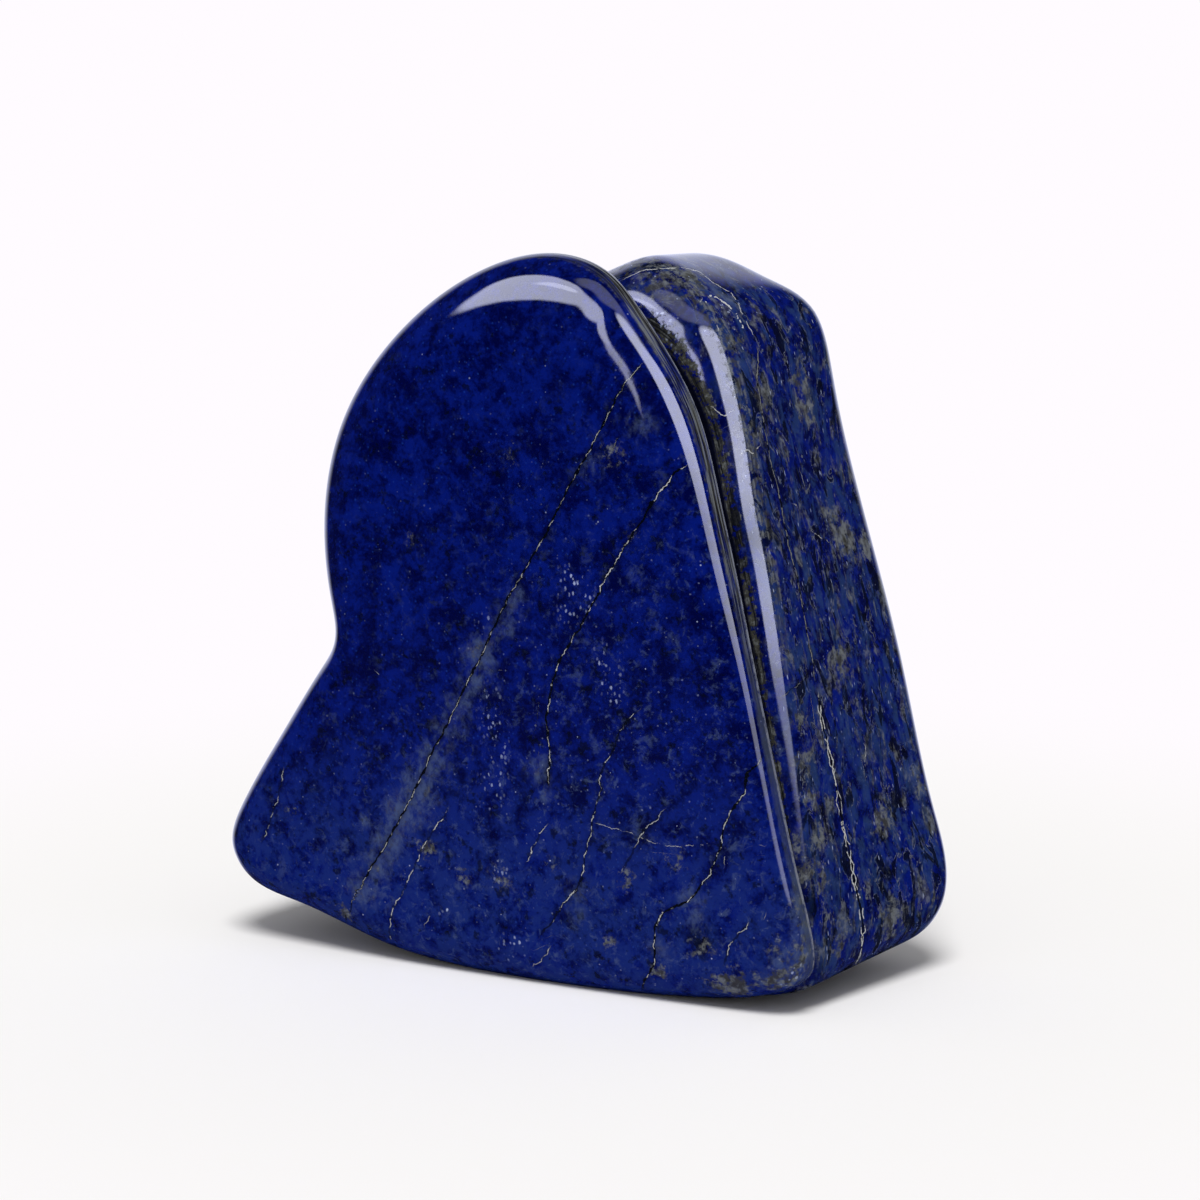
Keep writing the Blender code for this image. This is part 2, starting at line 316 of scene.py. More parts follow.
# Veins that the camera sees: how dark the crack is, how much pale filling it holds, which is more than 1 for
# a broad white line, and the route in pixels of the camera's frame
LONG_VEINS = (
    (1.0, 0.75, (
        (644, 362), (628, 379), (610, 411), (597, 436), (580, 467), (563, 497), (553, 520), (531, 560),
        (508, 597), (494, 628), (479, 660), (453, 712), (430, 758), (410, 801), (384, 847), (365, 878),
        (346, 922),
    )),
    (0.9, 1.0, (
        (690, 464), (675, 474), (664, 487), (649, 507), (640, 525), (630, 538), (617, 560), (604, 578),
        (600, 591), (588, 612), (577, 632), (560, 658), (552, 683), (546, 720), (550, 755), (548, 792),
    )),
    (0.5, 1.0, ((548, 822), (538, 838), (524, 866))),
    (0.7, 0.9, (
        (640, 707), (628, 720), (619, 732), (614, 749), (604, 764), (598, 778), (601, 790), (593, 815),
        (590, 836), (584, 858), (583, 876), (574, 892), (560, 908), (552, 922), (538, 938),
    )),
    (0.5, 0.9, ((552, 945), (545, 956), (532, 967))),
    (0.9, 1.0, (
        (764, 752), (760, 762), (746, 775), (745, 792), (734, 806), (724, 825), (721, 847), (715, 861),
        (709, 876), (700, 886), (690, 900), (676, 906), (662, 914), (655, 928), (655, 948), (654, 964),
        (646, 978), (642, 990),
    )),
    (0.6, 0.8, ((666, 808), (654, 822), (641, 833), (637, 845), (630, 858), (620, 873))),
    (0.5, 1.0, (
        (450, 803), (443, 818), (430, 836), (421, 850), (415, 866), (408, 880), (401, 896), (393, 908),
        (390, 922), (392, 942),
    )),
    (0.4, 0.7, ((432, 911), (423, 930))),
    (0.5, 0.7, ((285, 762), (280, 792), (272, 815), (260, 846))),
    (0.6, 0.8, ((752, 920), (741, 932), (731, 944), (722, 968))),
    (0.3, 0.8, ((768, 910), (763, 922))),
    (0.2, 1.0, ((703, 398), (712, 409), (725, 416), (736, 410))),
    (0.2, 1.0, ((716, 450), (727, 456), (740, 457), (745, 450), (754, 452), (760, 444), (761, 428))),
    (0.4, 0.9, ((784, 615), (791, 611), (799, 607))),
    (0.2, 0.8, ((810, 530), (824, 540), (833, 543))),
    (0.6, 0.4, ((811, 666), (803, 682), (790, 690), (778, 700))),
    (0.2, 0.9, ((863, 735), (866, 750), (865, 768), (868, 785))),
    (0.2, 0.7, ((799, 465), (802, 478), (806, 492))),
    (0.3, 0.8, ((845, 915), (851, 922), (853, 934))),
    (0.2, 0.8, ((703, 296), (699, 302), (704, 312))),
)
# Veins that cross those above or lie close beside them, in a list of their own, because a point of the stone
# keeps only the nearest vein of a list
CROSS_VEINS = (
    (0.1, 0.7, ((594, 822), (612, 828), (631, 833), (650, 842), (668, 846), (690, 846), (715, 843))),
    (0.1, 0.5, ((748, 846), (770, 844))),
    (0.1, 0.6, ((372, 669), (389, 682))),
    (0.0, 1.0, ((585, 507), (591, 512))),
    (0.1, 0.6, ((490, 670), (504, 671))),
    (0.1, 0.5, ((690, 976), (715, 981), (736, 984))),
    (0.0, 0.6, ((723, 850), (725, 871))),
    (0.7, 0.5, ((621, 432), (616, 444), (611, 452))),
    (0.3, 0.8, ((790, 502), (798, 506), (800, 514))),
    (0.0, 3.2, (
        (702, 306), (708, 299), (713, 295), (719, 298), (724, 303), (730, 306), (735, 310), (737, 316),
    )),
    (0.0, 2.6, ((719, 299), (722, 308), (728, 312))),
    (0.0, 2.4, ((732, 317), (739, 319), (742, 327), (737, 332), (732, 328))),
    (0.0, 1.8, ((724, 328), (728, 335))),
    (0.0, 1.2, ((715, 319), (717, 330), (721, 337))),
)
# The vein round the right side, whose lower part is a chain of small loops
CHAIN_VEIN = (
    (0.0, 0.8, (
        (622, 281), (642, 271), (669, 269), (699, 271), (713, 283), (732, 293), (741, 312), (749, 327),
        (757, 342),
    )),
    (1.0, 0.35, (
        (757, 345), (758, 360), (757, 383), (762, 411), (770, 459), (778, 488), (784, 521), (789, 547),
        (798, 580), (801, 600), (806, 625), (810, 648), (813, 664), (815, 680),
    )),
    (1.0, 1.0, (
        (818, 690), (820, 713), (827, 742), (833, 768), (838, 795), (843, 827), (849, 851), (854, 880),
        (860, 905), (863, 931), (861, 950), (853, 966),
    )),
)
# Length of a link of the chain, and half its width
LINK_LENGTH = 3.1
LINK_WIDTH = 0.42
# How far from a vein its marks reach, the share of that over which they fade, and the length over which the
# vein tapers at its ends
VEIN_REACH = 1.7
CHAIN_REACH = 2.4
VEIN_FADE = 0.4
VEIN_TAPER = 1.2

# How far a soft patch or a cluster of specks fades out, in its radii
PATCH_SPREAD = 1.6
# Soft patches: place in pixels of the camera's frame, radius in millimetres, then how much pale cloud,
# olive rock and dark each holds
PATCHES = (
    (640, 425, 2.6, 0.5, 0.1, 0.0), (590, 465, 2.6, 0.4, 0.0, 0.0), (515, 600, 2.4, 0.5, 0.0, 0.0),
    (503, 622, 2.6, 0.7, 0.0, 0.0), (480, 652, 2.8, 0.9, 0.2, 0.0), (474, 682, 2.6, 0.7, 0.0, 0.0),
    (458, 708, 2.8, 0.6, 0.0, 0.0), (446, 732, 2.8, 0.7, 0.1, 0.0), (432, 758, 3.0, 0.8, 0.1, 0.0),
    (418, 786, 3.2, 1.0, 0.2, 0.0), (404, 812, 3.2, 1.0, 0.2, 0.0), (390, 840, 3.0, 0.9, 0.1, 0.0),
    (376, 866, 3.0, 0.8, 0.2, 0.0), (362, 892, 3.0, 0.8, 0.2, 0.0), (425, 800, 3.0, 0.6, 0.0, 0.0),
    (365, 820, 1.6, 0.7, 0.0, 0.0), (540, 770, 2.0, 0.9, 0.2, 0.0), (545, 795, 1.4, 0.6, 0.3, 0.0),
    (578, 890, 2.2, 0.6, 0.1, 0.0), (576, 912, 1.8, 0.6, 0.1, 0.0), (660, 950, 2.2, 0.6, 0.1, 0.0),
    (690, 900, 2.4, 0.6, 0.1, 0.0), (694, 920, 1.8, 0.7, 0.0, 0.0), (612, 455, 2.0, 0.2, 0.5, 0.0),
    (635, 535, 1.6, 0.2, 0.3, 0.0), (508, 455, 1.8, 0.1, 0.4, 0.4), (675, 860, 1.8, 0.2, 0.6, 0.0),
    (425, 848, 1.6, 0.0, 0.7, 0.3), (464, 878, 1.4, 0.0, 0.8, 0.2), (610, 945, 1.0, 0.0, 0.9, 0.0),
    (700, 945, 2.4, 0.0, 0.5, 0.9), (660, 972, 1.6, 0.1, 0.8, 0.2), (735, 985, 2.6, 0.3, 1.0, 0.0),
    (775, 982, 2.4, 0.1, 0.9, 0.0), (718, 985, 2.0, 0.2, 0.9, 0.0), (788, 960, 2.6, 0.7, 0.4, 0.0),
    (778, 945, 2.0, 0.2, 0.4, 0.3), (790, 900, 1.6, 0.2, 0.4, 0.2), (500, 880, 2.2, 0.3, 0.4, 0.1),
    (550, 860, 1.8, 0.0, 0.3, 0.6), (625, 880, 1.6, 0.0, 0.6, 0.2), (345, 912, 1.6, 0.1, 0.9, 0.2),
    (290, 812, 1.0, 0.0, 0.8, 0.0), (415, 540, 1.6, 0.2, 0.4, 0.3), (845, 538, 3.4, 0.1, 1.0, 0.0),
    (866, 545, 2.2, 0.0, 1.0, 0.0), (915, 772, 2.0, 0.9, 0.6, 0.0), (922, 790, 1.8, 0.8, 0.6, 0.0),
    (820, 690, 1.3, 1.0, 0.2, 0.0), (840, 660, 3.0, 0.3, 0.9, 0.0), (845, 925, 2.2, 0.7, 0.5, 0.0),
    (836, 950, 1.8, 0.2, 0.8, 0.0), (882, 820, 2.6, 0.2, 1.0, 0.0), (893, 920, 2.8, 0.2, 1.0, 0.0),
    (810, 870, 2.6, 0.2, 0.6, 0.4), (795, 845, 2.2, 0.2, 0.6, 0.3), (805, 930, 2.2, 1.0, 0.5, 0.0),
    (800, 905, 2.0, 0.8, 0.5, 0.0), (797, 880, 1.8, 0.7, 0.3, 0.0), (803, 958, 2.4, 1.0, 0.6, 0.0),
    (790, 980, 2.2, 0.9, 0.6, 0.0), (768, 978, 2.0, 0.7, 0.7, 0.0), (806, 762, 2.0, 0.4, 0.8, 0.3),
    (812, 800, 2.0, 0.4, 0.8, 0.3), (818, 838, 2.0, 0.4, 0.8, 0.3), (822, 880, 2.0, 0.4, 0.7, 0.3),
    (800, 720, 1.8, 0.3, 0.7, 0.4), (866, 702, 1.4, 0.0, 0.1, 0.9), (868, 742, 1.4, 0.0, 0.1, 0.9),
    (876, 795, 1.6, 0.0, 0.2, 1.0), (884, 835, 1.6, 0.0, 0.2, 1.0), (889, 872, 1.6, 0.0, 0.2, 1.0),
    (893, 905, 1.4, 0.0, 0.1, 0.9), (716, 292, 1.6, 1.0, 0.2, 0.0), (730, 302, 1.2, 1.0, 0.2, 0.0),
    (765, 395, 2.4, 0.2, 0.8, 0.0), (800, 385, 2.6, 0.0, 0.9, 0.0), (805, 410, 2.4, 0.1, 0.9, 0.0),
    (758, 440, 2.0, 0.4, 0.6, 0.0), (735, 340, 2.0, 0.1, 0.8, 0.0), (690, 278, 2.4, 0.3, 0.8, 0.0),
    (655, 285, 2.4, 0.3, 0.9, 0.0), (830, 515, 2.2, 0.1, 0.7, 0.0), (865, 755, 1.4, 0.9, 0.3, 0.0),
    (572, 592, 2.2, 0.25, 0.0, 0.0),
)
# Clusters of white specks: place in pixels, radius in millimetres and how crowded. The four along the seam's
# ridge, from (658, 314) to (682, 350), are partly painted glints
SPECK_AND_GLINT_CLUSTERS = (
    (572, 580, 1.9, 0.8), (580, 600, 1.9, 0.9), (568, 612, 1.4, 0.5), (604, 660, 1.8, 0.7),
    (609, 680, 1.8, 0.8), (614, 705, 1.8, 0.6), (488, 700, 1.6, 0.6), (493, 725, 1.6, 0.7),
    (497, 750, 1.6, 0.7), (494, 780, 1.6, 0.8), (492, 800, 1.4, 0.6), (515, 945, 1.6, 0.9),
    (507, 952, 1.4, 0.7), (484, 618, 1.0, 0.8), (497, 870, 1.6, 0.6), (448, 910, 1.2, 0.8),
    (790, 975, 2.2, 0.6), (795, 955, 1.8, 0.5), (658, 314, 0.9, 0.9), (666, 325, 0.9, 0.9),
    (674, 338, 1.0, 0.9), (682, 350, 0.8, 0.8),
)
# Veins that the camera doesn't see: crack and filling as above, then x and z on the back face
BACK_VEINS = (
    (0.8, 0.8, ((-24.0, 80.0), (-12.0, 66.0), (-4.0, 50.0), (6.0, 34.0), (13.0, 18.0), (21.0, 6.0))),
    (0.5, 0.9, ((-20.0, 52.0), (-14.0, 40.0), (-12.0, 28.0), (-4.0, 18.0), (-2.0, 8.0))),
    (0.4, 0.8, ((18.0, 72.0), (20.0, 60.0), (26.0, 50.0), (27.0, 38.0))),
    (0.6, 0.8, ((-36.0, 26.0), (-30.0, 18.0), (-28.0, 8.0))),
)


def direction_axes(azimuth, elevation):
    """A direction out from the stone, and the right and up of someone who faces the stone from there."""
    azimuth = math.radians(azimuth)
    elevation = math.radians(elevation)
    level = math.cos(elevation)
    outward = Vector((math.sin(azimuth) * level, -math.cos(azimuth) * level, math.sin(elevation)))
    right = Vector((math.cos(azimuth), math.sin(azimuth), 0.0))
    return outward, right, outward.cross(right)


def camera_axes():
    """The camera's place and its right, up and back directions."""
    back, right, up = direction_axes(VIEW_AZIMUTH, VIEW_ELEVATION)
    place = (Vector(VIEW_AIM) + back * VIEW_DISTANCE) * MM
    return place, right, up, back


def seen_on(stone, across, down):
    """The point of the stone, in millimetres, that the camera sees at a pixel of its frame."""
    place, right, up, back = camera_axes()
    focal = LENS / SENSOR * FRAME_PIXELS
    middle = FRAME_PIXELS / 2
    ray = right * ((across - middle) / focal) - up * ((down - middle) / focal) - back
    hit, spot, _, _ = stone.ray_cast(place, ray.normalized())
    return np.array(spot) / MM if hit else None


def behind_on(stone, x, z):
    """The point of the back face, in millimetres, at x and z."""
    hit, spot, _, _ = stone.ray_cast(Vector((x, 2 * THICKNESS, z)) * MM, Vector((0.0, -1.0, 0.0)))
    return np.array(spot) / MM if hit else None


def smooth_step(value):
    """0 below 0, 1 above 1, and smooth between."""
    value = np.clip(value, 0.0, 1.0)
    return value * value * (3.0 - 2.0 * value)


def deselect_all():
    for item in bpy.context.selected_objects:
        item.select_set(False)


def chosen(stone):
    """The edit mesh and its selected points."""
    mesh = bmesh.from_edit_mesh(stone.data)
    return mesh, [vertex for vertex in mesh.verts if vertex.select]


def lay_ring(stone, order, ring, station):
    """Moves the selected ring of points to its place, and gives the number that each has round the ring."""
    mesh, points = chosen(stone)
    layer = mesh.verts.layers.float["station"]
    numbered = {}
    for vertex in points:
        number = order[tuple(vertex.co)]
        vertex.co = ring[number] * MM
        vertex[layer] = station
        numbered[tuple(vertex.co)] = number
    bmesh.update_edit_mesh(stone.data)
    return numbered


def fill_cap(stone, order, station, share, middle):
    """Closes the open ring with a grid of faces that takes the slow swell of its side."""
    bpy.ops.mesh.select_all(action="DESELECT")
    mesh = bmesh.from_edit_mesh(stone.data)
    for vertex in mesh.verts:
        vertex.select = tuple(vertex.co) in order
    mesh.select_flush(True)
    bmesh.update_edit_mesh(stone.data)
    bpy.ops.mesh.fill_grid(span=len(order) // 4, offset=CAP_OFFSET)
    mesh, points = chosen(stone)
    for vertex in points:
        vertex.select = tuple(vertex.co) not in order
    mesh.select_flush_mode()
    bmesh.update_edit_mesh(stone.data)
    bpy.ops.mesh.vertices_smooth(factor=0.5, repeat=CAP_SMOOTHING)
    mesh, points = chosen(stone)
    layer = mesh.verts.layers.float["station"]
    for vertex in points:
        x = vertex.co.x / MM + middle
        z = vertex.co.z / MM
        vertex.co.y = ((share - 0.5) * THICKNESS + crown(x, z, share)) * MM
        vertex[layer] = station
    bmesh.update_edit_mesh(stone.data)


def model_stone(count):
    """The stone, extruded ring by ring from a circle, closed, smoothed and cut flat where it rests."""
    rings, stations = stone_rings(count)
    across = np.concatenate(rings)[:, 0]
    middle = 0.5 * (across.min() + across.max())
    rings = [points - (middle, 0.0, 0.0) for points in rings]
    bpy.ops.mesh.primitive_circle_add(vertices=count, radius=THICKNESS * MM, fill_type="NOTHING")
    stone = bpy.context.object
    stone.name = "polished_stone"
    stone.data.name = stone.name
    stone.data.attributes.new("station", "FLOAT", "POINT")
    bpy.ops.object.mode_set(mode="EDIT")
    bpy.ops.mesh.select_all(action="SELECT")
    _, points = chosen(stone)
    order = {tuple(vertex.co): number for number, vertex in enumerate(points)}
    first = order = lay_ring(stone, order, rings[0], stations[0])
    for ring, station in zip(rings[1:], stations[1:]):
        bpy.ops.mesh.extrude_edges_move()
        order = lay_ring(stone, order, ring, station)
    fill_cap(stone, order, BACK_FACE, 1.0, middle)
    fill_cap(stone, first, FRONT_FACE, 0.0, middle)
    bpy.ops.mesh.select_all(action="SELECT")
    bpy.ops.mesh.normals_make_consistent(inside=False)
    bpy.ops.object.mode_set(mode="OBJECT")
    bpy.ops.object.modifier_add(type="SUBSURF")
    smoothing = stone.modifiers[-1]
    smoothing.levels = 1
    smoothing.render_levels = 1
    bpy.ops.object.modifier_apply(modifier=smoothing.name)
    bpy.ops.object.mode_set(mode="EDIT")
    bpy.ops.mesh.select_all(action="SELECT")
    bpy.ops.mesh.bisect(
        plane_co=(0.0, 0.0, 0.0), plane_no=(0.0, 0.0, 1.0), use_fill=True, clear_inner=True, threshold=TINY
    )
    bpy.ops.mesh.select_all(action="SELECT")
    bpy.ops.mesh.normals_make_consistent(inside=False)
    bpy.ops.object.mode_set(mode="OBJECT")
    bpy.ops.object.shade_smooth()
    return stone


def surface(stone):
    """Where the points of the stone are, in millimetres, and which way each faces."""
    count = len(stone.data.vertices)
    spots = np.zeros(count * 3)
    facing = np.zeros(count * 3)
    stone.data.vertices.foreach_get("co", spots)
    stone.data.vertex_normals.foreach_get("vector", facing)
    return spots.reshape(-1, 3) / MM, facing.reshape(-1, 3)


def lay_values(stone, name, kind, field, values):
    """Keeps values on the points of the stone under a name that the material reads."""
    layer = stone.data.attributes.new(name, kind, "POINT")
    layer.data.foreach_set(field, values.astype(np.float32).ravel())


def vein_field(spots, facing, veins, reach):
    """For each point: signed distance to the nearest vein, length along it, its crack and its filling."""
    field = np.zeros((len(spots), 4))
    field[:, 0] = 2 * reach
    nearest = np.full(len(spots), 2 * reach)
    begun = 0.0
    for crack, filling, route in veins:
        route = np.array(route)
        low = route.min(axis=0) - reach
        high = route.max(axis=0) + reach
        close = np.flatnonzero(np.all((spots > low) & (spots < high), axis=1))
        start = route[:-1]
        run = np.diff(route, axis=0)
        length = np.linalg.norm(run, axis=1)
        passed = np.concatenate([[0.0], np.cumsum(length)])
        gap = spots[close][:, None, :] - start[None, :, :]
        share = np.clip((gap * run).sum(axis=2) / length**2, 0.0, 1.0)
        gap -= share[:, :, None] * run
        away = np.linalg.norm(gap, axis=2)
        best = away.argmin(axis=1)
        row = np.arange(len(close))
        away = away[row, best]
        side = np.cross(facing[close], run[best])
        side = np.sign((side * gap[row, best]).sum(axis=1))
        along = passed[best] + share[row, best] * length[best]
        fade = smooth_step(along / VEIN_TAPER) * smooth_step((passed[-1] - along) / VEIN_TAPER)
        fade *= smooth_step((reach - away) / (VEIN_FADE * reach))
        nearer = away < nearest[close]
        which = close[nearer]
        nearest[which] = away[nearer]
        field[which, 0] = (side * away)[nearer]
        field[which, 1] = along[nearer] + begun
        field[which, 2] = (crack * fade)[nearer]
        field[which, 3] = (filling * fade)[nearer]
        begun += passed[-1] + reach
    return field


def seen_veins(stone, veins):
    """The veins with their routes moved from the camera's frame onto the stone."""
    placed = []
    for crack, filling, route in veins:
        spots = [seen_on(stone, across, down) for across, down in route]
        spots = [spot for spot in spots if spot is not None]
        if len(spots) > 1:
            placed.append((crack, filling, spots))
    return placed


def behind_veins(stone, veins):
    """The veins with their routes moved from x and z onto the back of the stone."""
    return [(crack, filling, [behind_on(stone, x, z) for x, z in route]) for crack, filling, route in veins]


def round_patches(stone, spots, patches):
    """For each point, the most of each amount that a patch gives it, fading outwards."""
    field = np.zeros((len(spots), len(patches[0]) - 3))
    for across, down, radius, *amounts in patches:
        middle = seen_on(stone, across, down)
        if middle is not None:
            share = smooth_step(1.0 - np.linalg.norm(spots - middle, axis=1) / (PATCH_SPREAD * radius))
            field = np.maximum(field, share[:, None] * np.array(amounts))
    return field


def lay_markings(stone):
    """Lays the veins, patches and specks on the stone's points."""
    spots, facing = surface(stone)
    for name, veins, reach in (
        ("long_veins", seen_veins(stone, LONG_VEINS) + behind_veins(stone, BACK_VEINS), VEIN_REACH),
        ("cross_veins", seen_veins(stone, CROSS_VEINS), VEIN_REACH),
        ("chain_vein", seen_veins(stone, CHAIN_VEIN), CHAIN_REACH),
    ):
        lay_values(stone, name, "FLOAT_COLOR", "color", vein_field(spots, facing, veins, reach))
    lay_values(stone, "patches", "FLOAT_VECTOR", "vector", round_patches(stone, spots, PATCHES))
    lay_values(stone, "speck_and_glint_clusters", "FLOAT", "value", round_patches(stone, spots, SPECK_AND_GLINT_CLUSTERS))


class Number:
    """A number in a shader. Python's arithmetic on it adds Math nodes."""

    def __init__(self, shader, socket):
        self.shader = shader
        self.socket = socket

    def _math(self, operation, first, second=0.0):
        node = self.shader.add("ShaderNodeMath", {"operation": operation}, {0: first, 1: second})
        return Number(self.shader, node.outputs[0])

    def __add__(self, other):
        return self._math("ADD", self, other)

    __radd__ = __add__

    def __sub__(self, other):
        return self._math("SUBTRACT", self, other)

    def __rsub__(self, other):
        return self._math("SUBTRACT", other, self)

    def __mul__(self, other):
        return self._math("MULTIPLY", self, other)

    __rmul__ = __mul__

    def __truediv__(self, other):
        return self._math("DIVIDE", self, other)

    def __pow__(self, other):
        return self._math("POWER", self, other)

    def __abs__(self):
        return self._math("ABSOLUTE", self)

    def most(self, other):
        return self._math("MAXIMUM", self, other)

    def sine(self):
        return self._math("SINE", self)

    def rising(self, low, high):
        """0 at low, 1 at high, and smooth between. Low may be the larger of the two."""
        node = self.shader.add(
            "ShaderNodeMapRange",
            {"interpolation_type": "SMOOTHSTEP"},
            {"Value": self, "From Min": low, "From Max": high, "To Min": 0.0, "To Max": 1.0},
        )
        return Number(self.shader, node.outputs["Result"])


class Shader:
    """A node tree that is filled from Python."""

    def __init__(self, tree):
        self.tree = tree
        tree.nodes.clear()

    def add(self, kind, settings=None, inputs=None):
        """One node: its settings are set first, then the values or links of its inputs."""
        node = self.tree.nodes.new(kind)
        for name, value in (settings or {}).items():
            setattr(node, name, value)
        for name, value in (inputs or {}).items():
            socket = node.inputs[name]
            if isinstance(value, Number):
                value = value.socket
            if isinstance(value, bpy.types.NodeSocket):
                self.tree.links.new(value, socket)
            else:
                socket.default_value = value
        return node

    def scaled(self, vector, factors):
        """The vector with each of its parts multiplied."""
        node = self.add("ShaderNodeVectorMath", {"operation": "MULTIPLY"}, {0: vector, 1: factors})
        return node.outputs[0]

    def moved(self, vector, shift):
        node = self.add("ShaderNodeVectorMath", {"operation": "ADD"}, {0: vector, 1: shift})
        return node.outputs[0]

    def pattern(self, name, vector):
        """Cloudy noise from 0 to 1, with about 0.5 in the middle, as PATTERNS describes it."""
        shift, scale, detail, roughness, distortion = PATTERNS[name]
        inputs = {"Vector": self.moved(vector, shift), "Scale": scale, "Detail": detail}
        inputs.update({"Roughness": roughness, "Distortion": distortion})
        node = self.add("ShaderNodeTexNoise", {"noise_dimensions": "3D"}, inputs)
        return Number(self, node.outputs["Fac"])

    def line_noise(self, along, scale, detail=1.0):
        """Noise along one number."""
        node = self.add(
            "ShaderNodeTexNoise", {"noise_dimensions": "1D"}, {"W": along, "Scale": scale, "Detail": detail}
        )
        return Number(self, node.outputs["Fac"])

    def specks(self, vector, scale):
        """Distance to the nearest of scattered points, and a random number for each of them."""
        node = self.add("ShaderNodeTexVoronoi", {"feature": "F1"}, {"Vector": vector, "Scale": scale})
        parts = self.add("ShaderNodeSeparateColor", {}, {"Color": node.outputs["Color"]})
        return Number(self, node.outputs["Distance"]), Number(self, parts.outputs[0])

    def length(self, vector):
        node = self.add("ShaderNodeVectorMath", {"operation": "LENGTH"}, {0: vector})
        return Number(self, node.outputs["Value"])

    def dot(self, vector, axis):
        """How far a vector goes along a fixed direction."""
        node = self.add("ShaderNodeVectorMath", {"operation": "DOT_PRODUCT"}, {0: vector, 1: tuple(axis)})
        return Number(self, node.outputs["Value"])

    def grey(self, amount, tint):
        """A colour of a tint, as bright as the amount."""
        node = self.add("ShaderNodeVectorMath", {"operation": "SCALE"}, {0: tuple(tint), "Scale": amount})
        return node.outputs[0]

    def join(self, *parts):
        """A vector made of three numbers."""
        return self.add("ShaderNodeCombineXYZ", {}, dict(enumerate(parts))).outputs[0]

    def kept(self, name):
        """The values that the mesh keeps under a name: colour, vector, number and alpha."""
        settings = {"attribute_type": "GEOMETRY", "attribute_name": name}
        return self.add("ShaderNodeAttribute", settings).outputs

    def parts(self, vector):
        node = self.add("ShaderNodeSeparateXYZ", {}, {0: vector})
        return [Number(self, socket) for socket in node.outputs]

    def bump(self, height, strength, distance):
        """Normals of a surface that a height of 1 raises by the distance in metres."""
        inputs = {"Strength": strength, "Distance": distance, "Height": height}
        return self.add("ShaderNodeBump", {}, inputs).outputs[0]

    def blend(self, share, under, over):
        """The colour under, with the colour over laid on it by a share."""
        node = self.add("ShaderNodeMix", {"data_type": "RGBA", "clamp_factor": True})
        for identifier, value in (("Factor_Float", share), ("A_Color", under), ("B_Color", over)):
            socket = next(socket for socket in node.inputs if socket.identifier == identifier)
            if isinstance(value, Number):
                value = value.socket
            if isinstance(value, bpy.types.NodeSocket):
                self.tree.links.new(value, socket)
            elif isinstance(value, float):
                socket.default_value = value
            else:
                socket.default_value = (*value, 1.0)
        return next(socket for socket in node.outputs if socket.identifier == "Result_Color")


# Patterns of cloudy noise on lengths in millimetres: how far its reading is moved, so that patterns don't
# line up, then scale, detail, roughness and distortion
UNMOVED = (0.0, 0.0, 0.0)
PATTERNS = {
    "broad": (UNMOVED, 0.15, 3.0, 0.55, 0.0),
    "mottle": ((4.0, 9.0, 1.0), 0.5, 4.0, 0.65, 0.3),
    "grain": ((8.0, 3.0, 6.0), 2.2, 2.0, 0.7, 0.0),
    "blotch": ((31.0, 7.0, 12.0), 0.48, 3.0, 0.65, 0.0),
    "clump": ((14.0, 5.0, 27.0), 0.75, 4.0, 0.74, 0.5),
    "haze": ((3.0, 11.0, 47.0), 0.4, 5.0, 0.7, 0.4),
    "side_steel": (UNMOVED, 0.38, 4.0, 0.62, 0.6),
    "side_dark": ((5.0, 40.0, 9.0), 0.32, 4.0, 0.60, 0.8),
    "side_rock": ((21.0, 3.0, 15.0), 0.40, 5.0, 0.66, 0.6),
    "side_shade": (UNMOVED, 1.3, 3.0, 0.6, 0.0),
    "rind_gaps": (UNMOVED, 0.5, 2.0, 0.5, 0.0),
    "seam_strands": (UNMOVED, 1.0, 4.0, 0.7, 0.0),
    "seam_lines": (UNMOVED, 1.0, 2.0, 0.6, 0.0),
    "seam_crumbs": ((17.0, 2.0, 5.0), 0.9, 4.0, 0.7, 0.0),
    "patch_fibres": (UNMOVED, 0.75, 4.0, 0.66, 0.3),
    "patch_crumbs": ((17.0, 2.0, 5.0), 0.8, 4.0, 0.7, 0.0),
    "speck_edges": (UNMOVED, 3.0, 2.0, 0.5, 0.0),
    "dash_edges": (UNMOVED, 2.0, 2.0, 0.5, 0.0),
    "vein_wander": (UNMOVED, 0.7, 1.0, 0.5, 0.0),
    "vein_tremble": (UNMOVED, 3.2, 2.0, 0.5, 0.0),
    "waves": (UNMOVED, 0.11, 2.0, 0.5, 0.0),
    "ripples": (UNMOVED, 0.8, 2.0, 0.6, 0.0),
    "polish_wear": (UNMOVED, 0.6, 2.0, 0.5, 0.0),
    "rock_grain": (UNMOVED, 1.1, 3.0, 0.5, 0.0),
}
# The marks get busier towards the lower right: the direction, and where along it they begin and are full
BUSY_TOWARDS = (0.5, 0.0, -0.6)
BUSY_FROM = -50.0
BUSY_FULL = -5.0
# Height under which the front gets lighter and hazier towards the foot, partly haze in the stone and partly
# painted bounce light from the floor, and at which this is full
FOOT_FROM = 36.0
FOOT_FULL = 10.0
# How close together the side's layers, the patches' fibres, the specks of the clusters and the dashes of the
# side lie along x, y and z
SIDE_LAYERS = (0.75, 1.25, 0.55)
PATCH_FIBRES = (1.0, 1.0, 0.75)
CLUSTER_SPECKS = (1.5, 1.5, 1.0)
SIDE_DASHES = (1.4, 2.4, 0.5)
# Where the seam is open: x from which its rock begins, and at which it is full
SEAM_OPENS = (-28.0, -10.0)
# Height from which the front layer's side is streaked, and at which it is streaked all over
STREAKS_FROM = 34.0
STREAKS_FULL = 62.0
# How tightly the seam's strands and fine lines follow the stations, and how far they run on along z
STRANDS = (9.0, 0.07)
FINE_LINES = (34.0, 0.10)
# Specks all over the stone: how far their reading is moved, scale, size in cells and strength
SCATTERED_SPECKS = ((UNMOVED, 0.9, 0.17, 0.22), ((9.0, 4.0, 2.0), 0.42, 0.065, 0.8))
